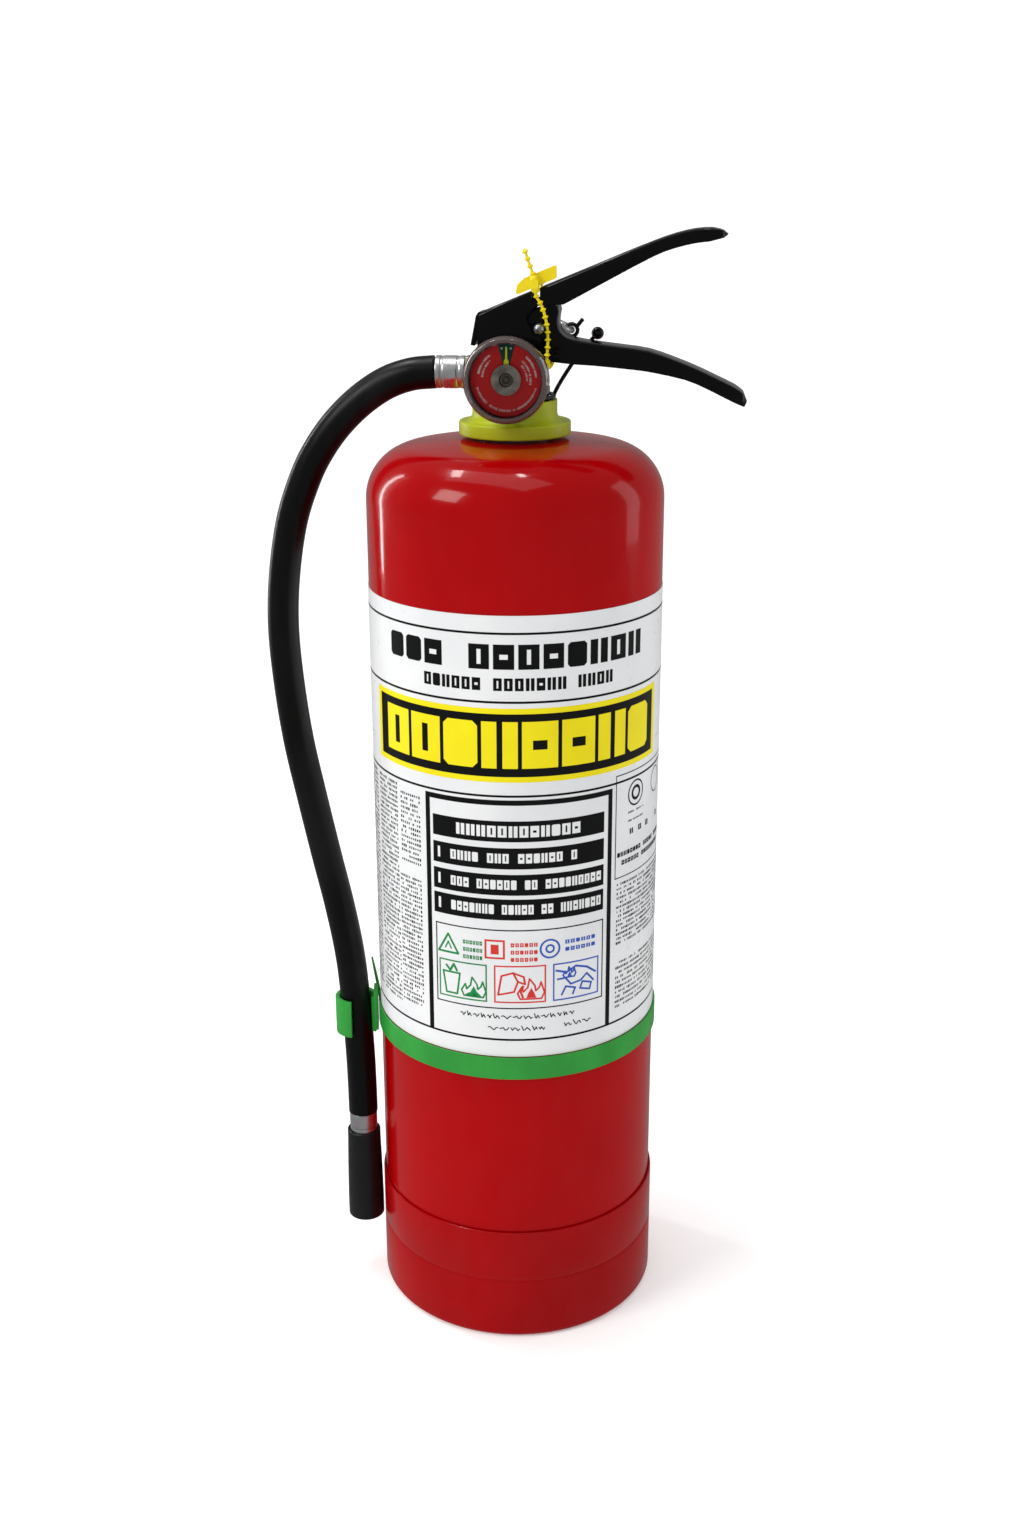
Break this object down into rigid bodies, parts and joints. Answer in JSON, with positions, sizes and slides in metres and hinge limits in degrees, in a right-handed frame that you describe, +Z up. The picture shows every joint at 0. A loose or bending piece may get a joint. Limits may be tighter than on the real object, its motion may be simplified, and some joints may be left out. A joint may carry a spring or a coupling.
{
  "type": "fire extinguisher",
  "caption": "Stored-pressure dry powder fire extinguisher: red tank on a foot skirt, valve with carry handle, squeeze lever, safety pin and gauge, and a clipped hose with a nozzle.",
  "frame": {"origin": "on the floor, under the middle of the box round everything but the hose", "axes": "+Z up, the gauge faces -Y, the handles point to +X and the hose leaves to -X"},
  "size_m": [0.2157, 0.1356, 0.5115],
  "materials": {
    "red_enamel": "gloss red enamel on steel",
    "black_enamel": "gloss black enamel on pressed steel",
    "label_vinyl": "printed vinyl label",
    "green_plastic": "moulded green plastic",
    "lime_plastic": "moulded lime plastic",
    "yellow_plastic": "moulded yellow plastic",
    "black_plastic": "moulded black plastic",
    "black_rubber": "smooth black rubber",
    "seal_rubber": "matt black rubber",
    "nickel_brass": "nickel-plated brass",
    "polished_aluminium": "polished aluminium",
    "bright_steel": "bright steel",
    "dark_chrome": "plated steel",
    "dial_red": "printed dial",
    "pointer_yellow": "painted pointer",
    "clear_plastic": "clear moulded plastic",
    "pale_powder": "dry powder"
  },
  "bodies": {
    "root": {"tank_shell": "red_enamel", "foot_ring": "red_enamel", "neck_ring": "bright_steel", "powder_charge": "pale_powder", "label_wrap": "label_vinyl", "clip_band": "green_plastic", "hose_clip": "green_plastic", "neck_seal": "seal_rubber", "valve_body": "nickel_brass", "stem_seal": "seal_rubber", "valve_spring": "bright_steel", "siphon_adapter": "black_plastic", "siphon_tube": "polished_aluminium", "gauge_washer": "seal_rubber", "gauge_stem": "nickel_brass", "gauge_case": "dark_chrome", "gauge_dial": "dial_red", "bourdon_coil": "nickel_brass", "gauge_lens": "clear_plastic", "carry_handle": "black_enamel", "handle_rivet": "bright_steel", "lever_rivet": "bright_steel", "pin_tether": "black_plastic", "outlet_washer": "seal_rubber", "outlet_nipple": "bright_steel"},
    "lever": {"squeeze_lever": "black_enamel", "seal_tie": "yellow_plastic"},
    "stem": {"valve_stem": "bright_steel", "seat_seal": "seal_rubber"},
    "pin": {"safety_pin": "bright_steel", "tether_eyelet": "black_plastic"},
    "pointer": {"gauge_pointer": "pointer_yellow"},
    "collar": {"service_collar": "lime_plastic"},
    "hose": {"upper_ferrule": "polished_aluminium", "hose": "black_rubber", "lower_ferrule": "polished_aluminium", "nozzle": "black_plastic"}
  },
  "joints": [
    {"name": "lever_squeeze", "type": "hinge", "parent": "root", "child": "lever", "pos_m": [-0.0182, 0, 0.46], "axis": [0, 1, 0], "range_deg": [0, 11], "stiffness_Nm_per_rad": 1.5, "springref_deg": -22.92},
    {"name": "stem_slide", "type": "slide", "parent": "root", "child": "stem", "axis": [0, 0, -1], "range_m": [0, 0.0033], "deforming": ["valve_spring"]},
    {"name": "pin_pull", "type": "slide", "parent": "root", "child": "pin", "axis": [0, 1, 0], "range_m": [0, 0.06]},
    {"name": "gauge_needle", "type": "hinge", "parent": "root", "child": "pointer", "pos_m": [-0.0067, -0.0293, 0.451], "axis": [0, 1, 0], "range_deg": [-95, 80], "stiffness_Nm_per_rad": 0.00005},
    {"name": "collar_spin", "type": "hinge", "parent": "root", "child": "collar", "pos_m": [-0.0067, 0, 0.43], "axis": [0, 0, 1], "continuous": true},
    {"name": "hose_swing", "type": "hinge", "parent": "root", "child": "hose", "pos_m": [-0.0347, 0, 0.451], "axis": [-1, 0, 0], "range_deg": [0, 90], "deforming": ["hose"]}
  ],
  "couplings": [
    {"joint": "stem_slide", "follows": "lever_squeeze", "m_per_rad": 0.0165}
  ]
}
